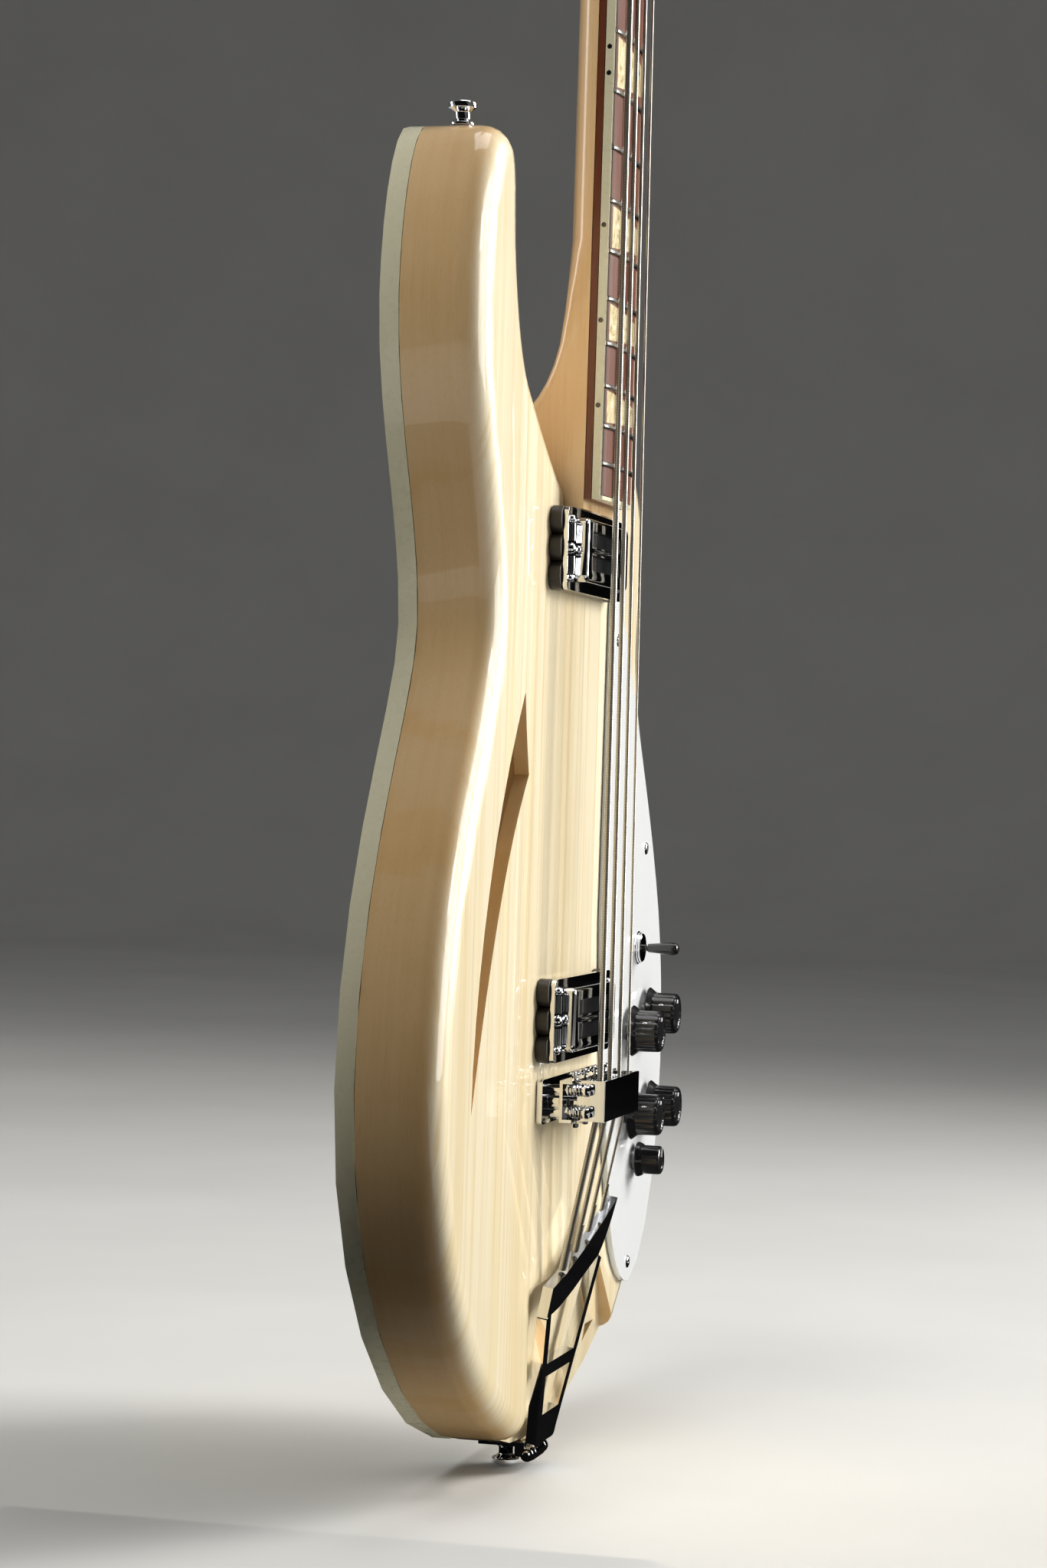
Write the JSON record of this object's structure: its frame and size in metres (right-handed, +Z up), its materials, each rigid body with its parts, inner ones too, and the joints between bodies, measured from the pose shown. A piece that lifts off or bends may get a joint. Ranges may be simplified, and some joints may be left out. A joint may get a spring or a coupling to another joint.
{
  "type": "electric bass guitar",
  "caption": "Semi-hollow electric bass guitar in natural maple with horned body, slash soundhole, chrome pickups and covered bridge, trapeze tailpiece, knobs and machine heads.",
  "frame": {"origin": "centre of the end strap button's outer face", "axes": "+Z up the neck to the headstock, strings and controls face -Y, bass side is -X"},
  "size_m": [0.384, 0.0675, 1.1734],
  "materials": {
    "body_maple": "clear gloss lacquer",
    "neck_maple": "clear gloss lacquer",
    "redwood": "lacquered",
    "ivory": "gloss",
    "chrome": "mirror",
    "steel": "satin",
    "white_plastic": "gloss",
    "black_plastic": "gloss",
    "black_rubber": "matte",
    "bone": "satin"
  },
  "bodies": {
    "instrument": {"body_shell": "body_maple", "back_panel": "body_maple", "back_binding": "ivory", "pickguard": "white_plastic", "neck": "neck_maple", "fretboard": "redwood", "neck_binding": "ivory", "nut": "bone", "truss_rod": "steel", "truss_cover": "white_plastic", "string_e": "steel", "string_a": "steel", "string_d": "steel", "string_g": "steel", "bridge_base": "chrome", "bridge_carriage": "chrome", "tailpiece": "chrome", "tailpiece_bracket": "chrome", "neck_pickup_pad": "black_rubber", "neck_pickup_frame": "chrome", "neck_pickup_cover": "chrome", "neck_pickup_coil": "black_plastic", "bridge_pickup_pad": "black_rubber", "bridge_pickup_frame": "chrome", "bridge_pickup_cover": "chrome", "bridge_pickup_coil": "black_plastic", "neck_volume_pot": "steel", "neck_tone_pot": "steel", "bridge_volume_pot": "steel", "bridge_tone_pot": "steel", "mixer_pot": "steel", "switch_body": "steel", "jack_plate": "chrome", "jack_socket": "chrome", "horn_strap_button": "chrome", "end_strap_button": "chrome", "tuner_e_plate": "chrome", "tuner_a_plate": "chrome", "tuner_d_plate": "chrome", "tuner_g_plate": "chrome"},
    "cover": {"bridge_cover": "chrome"},
    "e_saddle": {"saddle_e": "chrome"},
    "a_saddle": {"saddle_a": "chrome"},
    "d_saddle": {"saddle_d": "chrome"},
    "g_saddle": {"saddle_g": "chrome"},
    "neck_volume": {"neck_volume_knob": "black_plastic"},
    "neck_tone": {"neck_tone_knob": "black_plastic"},
    "bridge_volume": {"bridge_volume_knob": "black_plastic"},
    "bridge_tone": {"bridge_tone_knob": "black_plastic"},
    "mixer": {"mixer_knob": "black_plastic"},
    "lever": {"switch_lever": "black_plastic"},
    "e_post": {"tuner_e_post": "chrome"},
    "e_key": {"tuner_e_key": "chrome"},
    "a_post": {"tuner_a_post": "chrome"},
    "a_key": {"tuner_a_key": "chrome"},
    "d_post": {"tuner_d_post": "chrome"},
    "d_key": {"tuner_d_key": "chrome"},
    "g_post": {"tuner_g_post": "chrome"},
    "g_key": {"tuner_g_key": "chrome"}
  },
  "joints": [
    {"name": "cover_lift", "type": "slide", "parent": "instrument", "child": "cover", "axis": [0, -1, 0], "range_m": [0, 0.06]},
    {"name": "e_intonation", "type": "slide", "parent": "instrument", "child": "e_saddle", "axis": [0, 0, 1], "range_m": [0, 0.006]},
    {"name": "a_intonation", "type": "slide", "parent": "instrument", "child": "a_saddle", "axis": [0, 0, 1], "range_m": [0, 0.006]},
    {"name": "d_intonation", "type": "slide", "parent": "instrument", "child": "d_saddle", "axis": [0, 0, 1], "range_m": [0, 0.006]},
    {"name": "g_intonation", "type": "slide", "parent": "instrument", "child": "g_saddle", "axis": [0, 0, 1], "range_m": [0, 0.006]},
    {"name": "neck_volume_turn", "type": "hinge", "parent": "instrument", "child": "neck_volume", "pos_m": [0.107, -0.03, 0.1794], "axis": [0, 1, 0], "range_deg": [-140, 140]},
    {"name": "neck_tone_turn", "type": "hinge", "parent": "instrument", "child": "neck_tone", "pos_m": [0.14, -0.03, 0.1859], "axis": [0, 1, 0], "range_deg": [-140, 140]},
    {"name": "bridge_volume_turn", "type": "hinge", "parent": "instrument", "child": "bridge_volume", "pos_m": [0.11, -0.03, 0.1414], "axis": [0, 1, 0], "range_deg": [-140, 140]},
    {"name": "bridge_tone_turn", "type": "hinge", "parent": "instrument", "child": "bridge_tone", "pos_m": [0.147, -0.03, 0.1424], "axis": [0, 1, 0], "range_deg": [-140, 140]},
    {"name": "mixer_turn", "type": "hinge", "parent": "instrument", "child": "mixer", "pos_m": [0.125, -0.03, 0.1194], "axis": [0, 1, 0], "range_deg": [-140, 140]},
    {"name": "switch_throw", "type": "hinge", "parent": "instrument", "child": "lever", "pos_m": [0.122, -0.017, 0.2166], "axis": [1, 0, 0], "range_deg": [-12, 12]},
    {"name": "e_post_turn", "type": "hinge", "parent": "instrument", "child": "e_post", "pos_m": [-0.027, -0.03, 1.06745], "axis": [0, 1, 0], "continuous": true},
    {"name": "e_key_turn", "type": "hinge", "parent": "instrument", "child": "e_key", "pos_m": [-0.05, -0.0044, 1.05485], "axis": [1, 0, 0], "continuous": true},
    {"name": "a_post_turn", "type": "hinge", "parent": "instrument", "child": "a_post", "pos_m": [-0.0205, -0.03, 1.12345], "axis": [0, 1, 0], "continuous": true},
    {"name": "a_key_turn", "type": "hinge", "parent": "instrument", "child": "a_key", "pos_m": [-0.045, -0.0044, 1.11085], "axis": [1, 0, 0], "continuous": true},
    {"name": "d_post_turn", "type": "hinge", "parent": "instrument", "child": "d_post", "pos_m": [0.0205, -0.03, 1.12345], "axis": [0, 1, 0], "continuous": true},
    {"name": "d_key_turn", "type": "hinge", "parent": "instrument", "child": "d_key", "pos_m": [0.045, -0.0044, 1.11085], "axis": [1, 0, 0], "continuous": true},
    {"name": "g_post_turn", "type": "hinge", "parent": "instrument", "child": "g_post", "pos_m": [0.027, -0.03, 1.06745], "axis": [0, 1, 0], "continuous": true},
    {"name": "g_key_turn", "type": "hinge", "parent": "instrument", "child": "g_key", "pos_m": [0.05, -0.0044, 1.05485], "axis": [1, 0, 0], "continuous": true}
  ],
  "couplings": [
    {"joint": "e_key_turn", "follows": "e_post_turn", "ratio": 20},
    {"joint": "a_key_turn", "follows": "a_post_turn", "ratio": 20},
    {"joint": "d_key_turn", "follows": "d_post_turn", "ratio": -20},
    {"joint": "g_key_turn", "follows": "g_post_turn", "ratio": -20}
  ]
}
